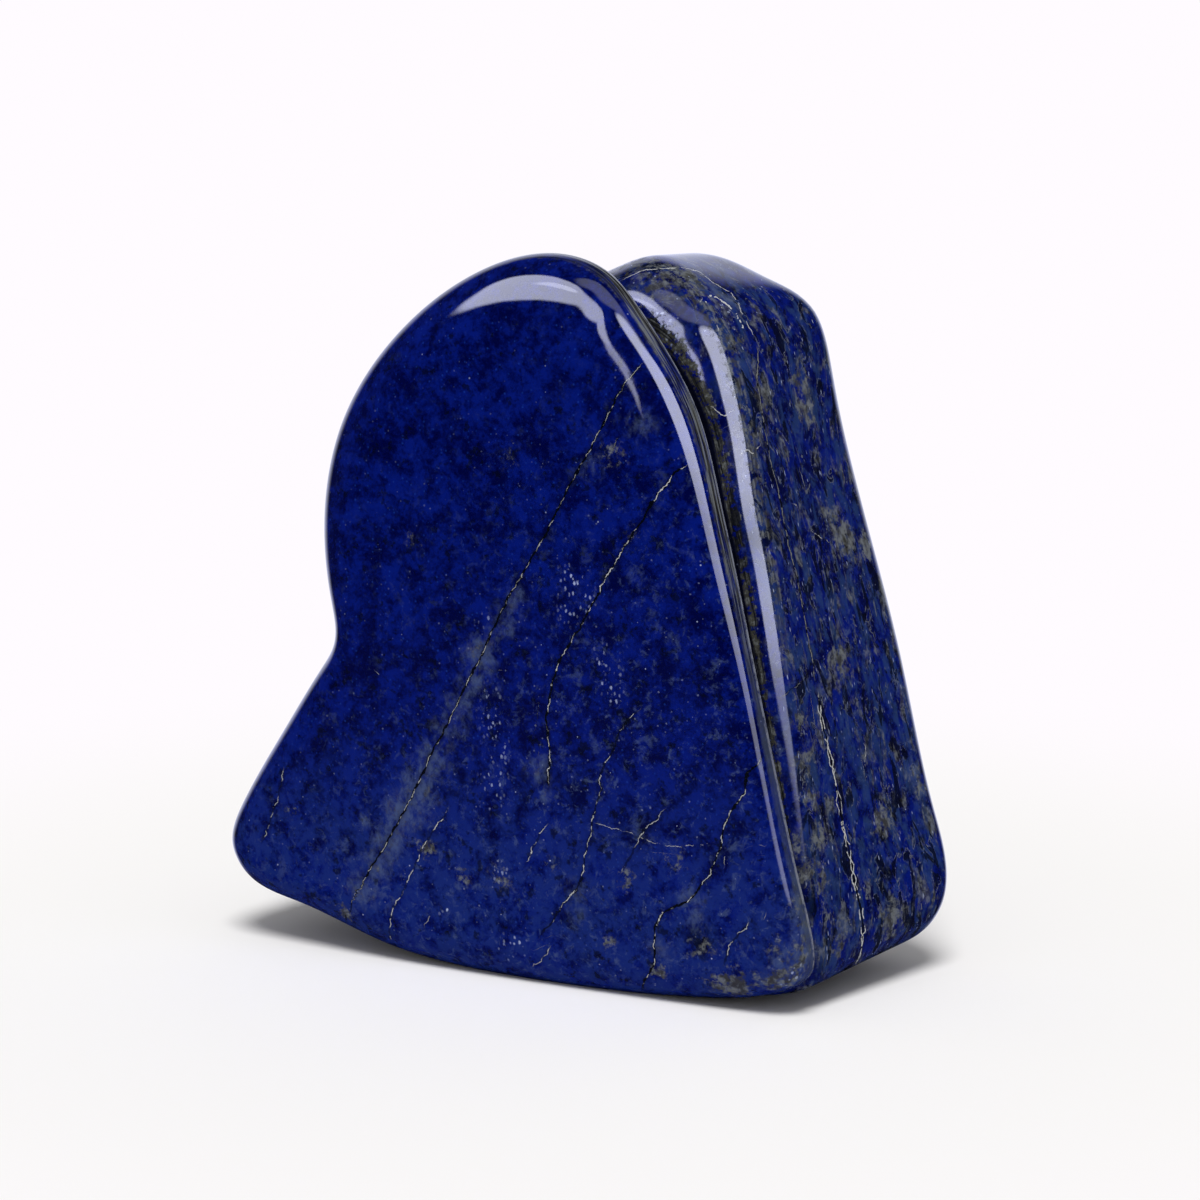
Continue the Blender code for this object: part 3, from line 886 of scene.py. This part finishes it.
# Strength and height in metres of the polish's slow waves and of the dull rock's grain
POLISH_BUMP = (0.1, 0.0004)
ROCK_BUMP = (0.8, 0.0003)
# Share of the dull rock that is matt, and the stone's refraction
ROCK_MATT = 0.92
REFRACTION = 1.5


def blue_ground(paint, look, spot, foot, body, busy):
    """The blue of the stone: broad clouds, mottling and fine grain, with dark blotches and a thin haze."""
    broad = paint.pattern("broad", spot)
    mottle = paint.pattern("mottle", spot)
    grain = paint.pattern("grain", spot)
    # Lighter towards the foot: partly haze in the stone, partly painted bounce light from the floor.
    tint = (broad * 0.32 + mottle * 0.48 + grain * 0.2 + foot * 0.05).rising(0.41, 0.60)
    colour = paint.blend(tint, look.deep_blue, look.bright_blue)
    far, luck = paint.specks(paint.moved(spot, (2.0, 6.0, 1.0)), 1.5)
    sparkle = far.rising(0.30, 0.12) * luck.rising(0.55, 0.95)
    colour = paint.blend(sparkle * 0.35, colour, look.sparkle_blue)
    # Greyer steel blue towards the foot, partly painted bounce light from the floor.
    colour = paint.blend(foot * 0.28 * mottle.rising(0.35, 0.60), colour, look.steel_blue)

    blotches = paint.pattern("blotch", spot).rising(0.585, 0.68)
    colour = paint.blend(blotches * 0.7, colour, look.dark_rock_and_shade)
    clumps = paint.pattern("clump", spot).rising(0.55, 0.72)
    colour = paint.blend(clumps * (busy * 0.48 + 0.06), colour, look.cloud)
    haze = paint.pattern("haze", spot).rising(0.56, 0.72)
    return paint.blend(haze * (busy * 0.45 + body * 0.15 + 0.05), colour, look.cloud)


def side_streaks(paint, look, colour, spot, body):
    """The body behind the seam is layered parallel to the front face, so its rock lies in streaks."""
    layered = paint.scaled(spot, SIDE_LAYERS)
    steel = paint.pattern("side_steel", layered).rising(0.44, 0.62)
    colour = paint.blend(steel * body * 0.6, colour, look.steel_blue)
    dark = paint.pattern("side_dark", layered)
    colour = paint.blend(dark.rising(0.53, 0.61) * body * 0.85, colour, look.dark_rock_and_shade)
    rock = paint.pattern("side_rock", layered).rising(0.53, 0.66)
    shade = paint.pattern("side_shade", spot).rising(0.4, 0.6)
    rock_colour = paint.blend(shade, look.olive_rock, look.grey_rock_and_glints)
    colour = paint.blend(rock * body * 0.6, colour, rock_colour)
    rind = abs(dark - 0.55).rising(0.014, 0.0) * paint.pattern("rind_gaps", spot).rising(0.48, 0.58)
    return paint.blend(rind * body * 0.7, colour, look.grey_rock_and_glints)


def seam_rock(paint, look, colour, spot, station):
    """Rock along the open seam, with light and shade painted in: the front layer's streaked side with a
    painted sheen and painted highlights, a black gap painted as shade, and a crumbly olive ridge with painted
    glints.

    Gives the colour, and how dull the rock is. The bounds here from 0.6 to 4 are stations across the seam.
    """
    across, _, height = paint.parts(spot)
    opened = across.rising(*SEAM_OPENS)
    strand = paint.pattern("seam_strands", paint.join(station * STRANDS[0], height * STRANDS[1], 0.0))
    fine = paint.pattern("seam_lines", paint.join(station * FINE_LINES[0], height * FINE_LINES[1], 0.0))
    crumb = paint.pattern("seam_crumbs", spot)
    upper = height.rising(STREAKS_FROM, STREAKS_FULL)

    layer_side = (station + (crumb - 0.5) * 0.12).rising(0.62, 0.70) * station.rising(1.2, 1.06) * opened
    # Frosted grey on the front layer's side, partly a painted sheen of reflected light, stronger lower down.
    frost_and_sheen = strand.rising(0.42, 0.58) * 0.25 - upper * 0.2 + 0.35
    colour = paint.blend(layer_side * frost_and_sheen, colour, look.frosted_grey_and_sheen)
    streaks = strand.rising(0.45, 0.53) * layer_side * upper
    colour = paint.blend(streaks * 0.9, colour, look.olive_rock)
    # Fine light lines of grey rock on the layer's side, partly painted highlights on its fine ridges.
    colour = paint.blend(fine.rising(0.51, 0.58) * layer_side * upper * 0.8, colour, look.grey_rock_and_glints)
    colour = paint.blend(fine.rising(0.45, 0.40) * layer_side * upper * 0.8, colour, look.dark_rock_and_shade)
    # Painted highlight: a thin light line along the front layer's back edge, where the sharp edge catches
    # light.
    arris_highlight_share = station.rising(0.80, 0.86) * station.rising(1.06, 0.98) * crumb.rising(0.35, 0.55) * opened
    colour = paint.blend(arris_highlight_share * 0.7, colour, look.arris_highlight)

    # Painted shade: the seam's deep gap is painted almost black, where shade falls in the recess.
    gap = station.rising(1.0, 1.2) * station.rising(3.11, 3.03) * opened
    colour = paint.blend(gap * 0.97, colour, look.dark_rock_and_shade)
    reach = upper * 0.07 + 3.19 + (crumb - 0.5) * 0.42
    ridge = station.rising(3.02, 3.08) * (reach - station).rising(-0.02, 0.04) * opened
    # Grey crumbs in the ridge: rock, and partly painted glints on the matt ridge.
    ridge_colour = paint.blend(crumb.rising(0.50, 0.68) * 0.7, look.olive_rock, look.grey_rock_and_glints)
    ridge_colour = paint.blend(strand.rising(0.56, 0.46) * 0.9, ridge_colour, look.dark_rock_and_shade)
    colour = paint.blend(ridge * crumb.rising(0.40, 0.48), colour, ridge_colour)

    stripe = (station + (crumb - 0.5) * 0.5).rising(3.60, 3.68) * station.rising(4.0, 3.88) * upper
    stripe_colour = paint.blend(strand.rising(0.45, 0.6), look.olive_rock, look.grey_rock_and_glints)
    stripe = stripe * crumb.rising(0.44, 0.58)
    colour = paint.blend(stripe * 0.75, colour, stripe_colour)
    return colour, gap.most(ridge).most(stripe * 0.6)


def patches_of_rock(paint, look, colour, spot):
    """Pale cloud, olive rock and dark where the stone's points carry them."""
    cloud, olive, dark = paint.parts(paint.kept("patches")["Vector"])
    fibre = paint.pattern("patch_fibres", paint.scaled(spot, PATCH_FIBRES))
    crumb = paint.pattern("patch_crumbs", spot)
    colour = paint.blend((fibre * 0.9 + dark * 0.25).rising(0.5, 0.62) * dark, colour, look.dark_rock_and_shade)
    mist = ((fibre - 0.5) * 1.9 + cloud * 0.75).rising(0.05, 0.95) * cloud.rising(0.0, 0.4)
    mist_colour = paint.blend(crumb.rising(0.48, 0.64) * 0.6, look.cloud, look.olive_rock)
    colour = paint.blend(mist * 0.85, colour, mist_colour)
    rock = (crumb + olive * 0.28).rising(0.58, 0.76) * olive.rising(0.02, 0.3)
    rock_colour = paint.blend(fibre.rising(0.4, 0.62), look.olive_rock, look.grey_rock_and_glints)
    return paint.blend(rock * 0.85, colour, rock_colour)


def white_specks(paint, look, colour, spot, body, busy):
    """White specks: fine ones all over, crowded ones in their clusters, partly painted glints along the
    seam's ridge, and dashes along the side.
    """
    crowded = Number(paint, paint.kept("speck_and_glint_clusters")["Fac"])
    ragged = paint.pattern("speck_edges", spot) - 0.5
    for shift, scale, size, strength in SCATTERED_SPECKS:
        far, luck = paint.specks(paint.moved(spot, shift), scale)
        far = far + ragged * (size * 0.9) + (1.0 - luck) * (size * 0.7)
        marks = far.rising(size, size * 0.3) * strength
        colour = paint.blend(marks * (busy * 0.6 + 0.4), colour, look.calcite)
    far, luck = paint.specks(paint.scaled(spot, CLUSTER_SPECKS), 1.1)
    far = far + ragged * 0.5 + (1.0 - luck) * 0.12
    colour = paint.blend(far.rising(0.40, 0.20) * luck.rising(0.2, 0.6) * crowded, colour, look.calcite)
    far, luck = paint.specks(paint.scaled(spot, SIDE_DASHES), 0.8)
    far = far + (paint.pattern("dash_edges", spot) - 0.5) * 0.2
    return paint.blend(far.rising(0.18, 0.08) * luck.rising(0.5, 0.9) * body * 0.6, colour, look.calcite)


def vein_marks(paint, look, colour, spot):
    """Veins: an uneven black crack, filled here and there with pale grains, which loop round in the chain."""
    wander = (paint.pattern("vein_wander", spot) - 0.5) * 0.7
    wander = wander + (paint.pattern("vein_tremble", spot) - 0.5) * 0.3
    width = look.vein_width / MM
    for name in ("long_veins", "cross_veins", "chain_vein"):
        kept = paint.kept(name)
        away, along, crack = paint.parts(kept["Color"])
        filling = Number(paint, kept["Alpha"])
        off = away + wander
        edge = width * (0.15 + paint.line_noise(along, 0.8, 2.0) * 1.3)
        soot = abs(off).rising(0.9, 0.0) * 0.3 + (edge - abs(off)).rising(-0.05, 0.05) * 0.9
        colour = paint.blend(soot * crack * 0.95, colour, look.dark_rock_and_shade)
        stretch = (paint.line_noise(along, 0.14) - 0.5) * 0.45
        if name == "chain_vein":
            phase = along * (math.pi / LINK_LENGTH) + (paint.line_noise(along, 0.25, 2.0) - 0.5) * 7.0
            link = abs(phase.sine()) * (paint.line_noise(along, 0.31) - 0.18).most(0.0) * (2.6 * LINK_WIDTH)
            strand = abs(abs(off) - link * filling.rising(0.86, 0.98))
            grains = (paint.line_noise(along, 0.7, 3.0) + stretch * 0.6).rising(0.38, 0.47)
            thick = width * 0.42
        else:
            strand = abs(off + (paint.line_noise(along, 0.6, 2.0) - 0.5) * (width * 2.6))
            grains = (paint.line_noise(along, 0.55, 4.0) + stretch).rising(0.47, 0.58)
            thick = width * (0.06 + filling * 0.2)
        pale = (thick * (0.4 + paint.line_noise(along, 1.9, 1.0) * 1.2) - strand).rising(-0.035, 0.03)
        colour = paint.blend(pale * grains * filling, colour, look.pyrite)
    return colour


def lapis_material(look):
    """Deep blue lapis with mottling, pale cloud, olive rock, white specks and veins."""
    material = bpy.data.materials.new("polished_lapis")
    material.use_nodes = True
    paint = Shader(material.node_tree)
    place = paint.add("ShaderNodeTexCoord").outputs["Object"]
    spot = paint.scaled(place, (1 / MM, 1 / MM, 1 / MM))
    station = Number(paint, paint.kept("station")["Fac"])
    body = station.rising(BODY_WALL + 0.1, BODY_WALL + 0.8)
    foot = paint.parts(spot)[2].rising(FOOT_FROM, FOOT_FULL) * station.rising(LAYER_LIP, LAYER_LIP - 0.1)
    busy = paint.dot(spot, BUSY_TOWARDS).rising(BUSY_FROM, BUSY_FULL)

    colour = blue_ground(paint, look, spot, foot, body, busy)
    colour = side_streaks(paint, look, colour, spot, body)
    colour = patches_of_rock(paint, look, colour, spot)
    colour, dull = seam_rock(paint, look, colour, spot, station)
    colour = white_specks(paint, look, colour, spot, body, busy)
    colour = vein_marks(paint, look, colour, spot)

    wavy = paint.bump(paint.pattern("waves", spot) + paint.pattern("ripples", spot) * 0.07, *POLISH_BUMP)
    wall = station.rising(0.95, 1.05) * station.rising(3.5, 3.4)
    rough = (paint.pattern("polish_wear", spot) - 0.5) * 0.05 + look.polish + wall * look.wall_roughness
    polished = paint.add(
        "ShaderNodeBsdfPrincipled",
        {},
        {"Base Color": colour, "Roughness": rough, "IOR": REFRACTION, "Normal": wavy},
    )
    crumbly = paint.bump(paint.pattern("rock_grain", spot), *ROCK_BUMP)
    matt = paint.add("ShaderNodeBsdfDiffuse", {}, {"Color": colour, "Normal": crumbly})
    shaders = {0: dull * ROCK_MATT, 1: polished.outputs[0], 2: matt.outputs[0]}
    finish = paint.add("ShaderNodeMixShader", {}, shaders)
    paint.add("ShaderNodeOutputMaterial", {}, {"Surface": finish.outputs[0]})
    return material


def colour_property(name, description, default):
    return FloatVectorProperty(name=name, description=description, subtype="COLOR", default=default)


class LapisLook(bpy.types.PropertyGroup):
    """Sizes and colours of the stone."""

    points_around: IntProperty(name="Points around", description="Points in each ring", default=168, min=48)
    vein_width: FloatProperty(
        name="Vein width", description="Half the width of a vein's crack", default=0.00018, unit="LENGTH"
    )
    polish: FloatProperty(
        name="Polish", description="Roughness of the polish", default=0.045, subtype="FACTOR"
    )
    wall_roughness: FloatProperty(
        name="Wall roughness",
        description="How much rougher the seam's wall is",
        default=0.05,
        subtype="FACTOR",
    )
    deep_blue: colour_property("Deep blue", "The darker blue", (0.0003, 0.0014, 0.042))
    bright_blue: colour_property("Bright blue", "The lighter blue", (0.0016, 0.0085, 0.160))
    sparkle_blue: colour_property("Sparkle blue", "Fine bright grains", (0.012, 0.05, 0.36))
    # Also greys the front towards its foot, partly as painted bounce light from the floor.
    steel_blue: colour_property("Steel blue", "Greyer blue of the body", (0.022, 0.050, 0.155))
    cloud: colour_property("Cloud", "Pale cloud by the veins", (0.060, 0.090, 0.205))
    calcite: colour_property("Calcite", "White specks", (0.47, 0.55, 0.82))
    pyrite: colour_property("Pyrite", "Filling of the veins", (0.52, 0.53, 0.53))
    # Cracks and blotches, and also the painted shade in the seam's gap.
    dark_rock_and_shade: colour_property("Dark rock", "Cracks and blotches", (0.0015, 0.0022, 0.006))
    olive_rock: colour_property("Olive rock", "Brown and olive rock", (0.042, 0.042, 0.034))
    # Lighter grey rock, and in the seam also painted highlights and glints.
    grey_rock_and_glints: colour_property("Grey rock", "Lighter grey rock", (0.165, 0.18, 0.19))
    # Partly a painted sheen of reflected light on the front layer's side.
    frosted_grey_and_sheen: colour_property("Frosted grey", "Side of the front layer", (0.055, 0.07, 0.105))
    # A painted highlight along the front layer's back edge.
    arris_highlight: colour_property("Arris grey", "Worn edge of the front layer", (0.26, 0.28, 0.33))


class StudioLook(bpy.types.PropertyGroup):
    """Sizes, colours and strengths of the studio."""

    floor_size: FloatProperty(
        name="Floor size", description="Side of the floor", default=60.0, unit="LENGTH"
    )
    floor_colour: colour_property("Floor colour", "Colour of the floor", (0.97, 0.955, 0.945))
    backdrop: colour_property("Backdrop", "Colour of the backdrop", (1.0, 0.965, 1.0))
    softbox_tint: colour_property("Softbox tint", "Colour of the softboxes", (0.86, 0.89, 1.12))
    sky: FloatProperty(name="Sky", description="Brightness of the light from all round", default=0.36)
    lamp: FloatProperty(name="Lamp", description="Strength of the soft lamp above", default=2.2)


class LAPIS_OT_stone(bpy.types.Operator):
    """Builds the polished stone with its veins"""

    bl_idname = "lapis.stone"
    bl_label = "Polished stone"

    def execute(self, context):
        look = context.scene.lapis_look
        deselect_all()
        stone = model_stone(look.points_around)
        bpy.context.view_layer.update()
        lay_markings(stone)
        stone.data.materials.append(lapis_material(look))
        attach(stone, "root")
        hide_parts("stone")
        return {"FINISHED"}


# Softboxes that the polish reflects: azimuth, elevation and roll of the middle in degrees, half width and
# half height as tangents, how square the outline is, how soft its edge is, brightness, and the share of it
# that is left at the foot
SOFTBOXES = (
    # Tall one on the right
    (57.5, 26.0, 0.0, 0.41, 0.50, 4.0, 0.30, 11.0, 0.35),
    # Wide one on the left, with its right end and its bright core
    (-32.0, 38.2, 3.0, 0.475, 0.23, 3.0, 0.25, 9.0, 1.0),
    (-3.0, 29.5, -12.0, 0.062, 0.24, 2.2, 0.40, 8.5, 1.0),
    (-24.0, 41.5, 0.0, 0.26, 0.055, 2.4, 0.70, 14.0, 1.0),
    # Thin strip below it
    (-7.0, 13.8, -24.0, 0.020, 0.14, 2.0, 0.90, 6.0, 1.0),
    # Faint one overhead
    (34.0, 63.0, 0.0, 0.42, 0.16, 3.0, 0.60, 1.8, 1.0),
)
# Least share of a direction that points at a softbox's middle for the softbox to count, and to count in full
SOFTBOX_AHEAD = (0.05, 0.1)
# Where the soft lamp shines from, azimuth and elevation, and how wide it looks, in degrees
LAMP_FROM = (25.0, 65.0)
LAMP_ANGLE = 24.0
# Distances from the stone between which the floor fades into the backdrop
FLOOR_FADE = (80.0, 190.0)
# Half sizes of the oval of floor that the polish reflects, and where its soft edge begins and ends in them
NEAR_FLOOR = (62.0, 34.0)
NEAR_FLOOR_EDGE = (0.9, 1.15)
# Painted shade: how much darker the floor is in the polish, standing for the shaded floor round the stone's
# foot
FLOOR_SHADE_IN_POLISH = 0.96
# Brightness of the surroundings in the polish: in front and low, to the side, and behind
FRONT_GLOW = 0.03
SIDE_GLOW = 0.02
BEHIND_GLOW = 1.2


def softbox_glow(paint, direction, box):
    """How bright a direction is for one softbox."""
    azimuth, elevation, roll, width, height, squareness, softness, brightness, foot = box
    outward, right, up = direction_axes(azimuth, elevation)
    turn = math.radians(roll)
    rolled_right = right * math.cos(turn) + up * math.sin(turn)
    rolled_up = up * math.cos(turn) - right * math.sin(turn)
    depth, across, high = (paint.dot(direction, axis) for axis in (outward, rolled_right, rolled_up))
    ahead = depth.most(SOFTBOX_AHEAD[0])
    high = high / (ahead * height)
    far = abs(across / (ahead * width)) ** squareness + abs(high) ** squareness
    glow = far.rising(1.0 + squareness * softness / 2, 1.0 - softness) * depth.rising(*SOFTBOX_AHEAD)
    return glow * (high.rising(-0.9, 0.1) * (brightness * (1 - foot)) + brightness * foot)


def add_world(look):
    """A white studio whose softboxes show in the polish, dim in front of the stone and bright behind it."""
    world = bpy.data.worlds.new("studio")
    bpy.context.scene.world = world
    world.use_nodes = True
    world.cycles.sampling_method = "NONE"
    paint = Shader(world.node_tree)
    direction = paint.add("ShaderNodeTexCoord").outputs["Generated"]
    rays = paint.add("ShaderNodeLightPath").outputs
    back = camera_axes()[3]
    behind = paint.dot(direction, Vector((-back.x, -back.y, 0.0)).normalized())
    down = paint.dot(direction, (0.0, 0.0, -1.0))
    front_low = behind.rising(0.2, -0.4) * down.rising(0.10, 0.24) * down.rising(0.46, 0.32)
    beside = behind.rising(-0.5, 0.2)
    far_behind = behind.rising(0.60, 0.84)
    glow = front_low * FRONT_GLOW + beside * SIDE_GLOW + far_behind * (BEHIND_GLOW - SIDE_GLOW)
    for box in SOFTBOXES:
        glow = glow.most(softbox_glow(paint, direction, box))
    gloss = paint.grey(glow, look.softbox_tint)
    soft = paint.blend(Number(paint, rays["Is Glossy Ray"]), (look.sky, look.sky, look.sky), gloss)
    light = paint.blend(Number(paint, rays["Is Camera Ray"]), soft, look.backdrop)
    background = paint.add("ShaderNodeBackground", {}, {"Color": light, "Strength": 1.0})
    paint.add("ShaderNodeOutputWorld", {}, {"Surface": background.outputs[0]})


def floor_material(look):
    """Pale floor that fades into the backdrop. The polish reflects only what is close to the stone, painted
    dark as shade.
    """
    material = bpy.data.materials.new("pale_floor")
    material.use_nodes = True
    paint = Shader(material.node_tree)
    place = paint.add("ShaderNodeTexCoord").outputs["Object"]
    far = paint.length(place)
    near = paint.length(paint.scaled(place, (1 / (NEAR_FLOOR[0] * MM), 1 / (NEAR_FLOOR[1] * MM), 0.0)))
    glossy = Number(paint, paint.add("ShaderNodeLightPath").outputs["Is Glossy Ray"])
    # Painted shade: the floor close to the stone is almost black to reflected rays.
    colour = paint.blend(glossy * FLOOR_SHADE_IN_POLISH, look.floor_colour, (0.0, 0.0, 0.0))
    matt = paint.add("ShaderNodeBsdfDiffuse", {}, {"Color": colour})
    white = paint.add("ShaderNodeEmission", {}, {"Color": (*look.backdrop, 1.0), "Strength": 1.0})
    clear = paint.add("ShaderNodeBsdfTransparent")
    share = far.rising(FLOOR_FADE[0] * MM, FLOOR_FADE[1] * MM)
    floor = paint.add("ShaderNodeMixShader", {}, {0: share, 1: matt.outputs[0], 2: white.outputs[0]})
    hidden = glossy * near.rising(*NEAR_FLOOR_EDGE)
    floor = paint.add("ShaderNodeMixShader", {}, {0: hidden, 1: floor.outputs[0], 2: clear.outputs[0]})
    paint.add("ShaderNodeOutputMaterial", {}, {"Surface": floor.outputs[0]})
    return material


class LAPIS_OT_studio(bpy.types.Operator):
    """Adds the floor, the lights, the white surroundings and the camera"""

    bl_idname = "lapis.studio"
    bl_label = "Studio"

    def execute(self, context):
        look = context.scene.studio_look
        deselect_all()
        bpy.ops.mesh.primitive_plane_add(size=look.floor_size)
        floor = bpy.context.object
        floor.name = "pale_floor"
        floor.data.materials.append(floor_material(look))
        bpy.ops.object.light_add(type="SUN")
        lamp = bpy.context.object
        lamp.name = "soft_lamp"
        lamp.rotation_euler = direction_axes(*LAMP_FROM)[0].to_track_quat("Z", "Y").to_euler()
        lamp.data.energy = look.lamp
        lamp.data.angle = math.radians(LAMP_ANGLE)
        lamp.visible_glossy = False
        add_world(look)
        place, right, up, back = camera_axes()
        bpy.ops.object.camera_add(location=place)
        camera = bpy.context.object
        camera.name = "photo_camera"
        camera.rotation_euler = back.to_track_quat("Z", "Y").to_euler()
        camera.data.lens = LENS
        camera.data.sensor_width = SENSOR
        camera.data.clip_start = CLIP_START
        context.scene.camera = camera
        context.scene.view_settings.view_transform = "Standard"
        return {"FINISHED"}


class LAPIS_PT_panel(bpy.types.Panel):
    """Lists the stone and its studio"""

    bl_idname = "LAPIS_PT_panel"
    bl_label = "Lapis"
    bl_space_type = "VIEW_3D"
    bl_region_type = "UI"
    bl_category = "Lapis"

    def draw(self, context):
        layout = self.layout
        for look, names in (
            (context.scene.lapis_look, LapisLook.__annotations__),
            (context.scene.studio_look, StudioLook.__annotations__),
        ):
            for name in names:
                layout.prop(look, name)
        layout.operator(LAPIS_OT_stone.bl_idname)
        layout.operator(LAPIS_OT_studio.bl_idname)


CLASSES = (LapisLook, StudioLook, LAPIS_OT_stone, LAPIS_OT_studio, LAPIS_PT_panel)


def register():
    for item in CLASSES:
        bpy.utils.register_class(item)
    bpy.types.Scene.lapis_look = PointerProperty(type=LapisLook)
    bpy.types.Scene.studio_look = PointerProperty(type=StudioLook)


def unregister():
    del bpy.types.Scene.lapis_look
    del bpy.types.Scene.studio_look
    for item in reversed(CLASSES):
        bpy.utils.unregister_class(item)


def main():
    register()
    bpy.ops.lapis.stone()
    bpy.ops.lapis.studio()
    bpy.context.view_layer.update()


if __name__ == "__main__":
    main()
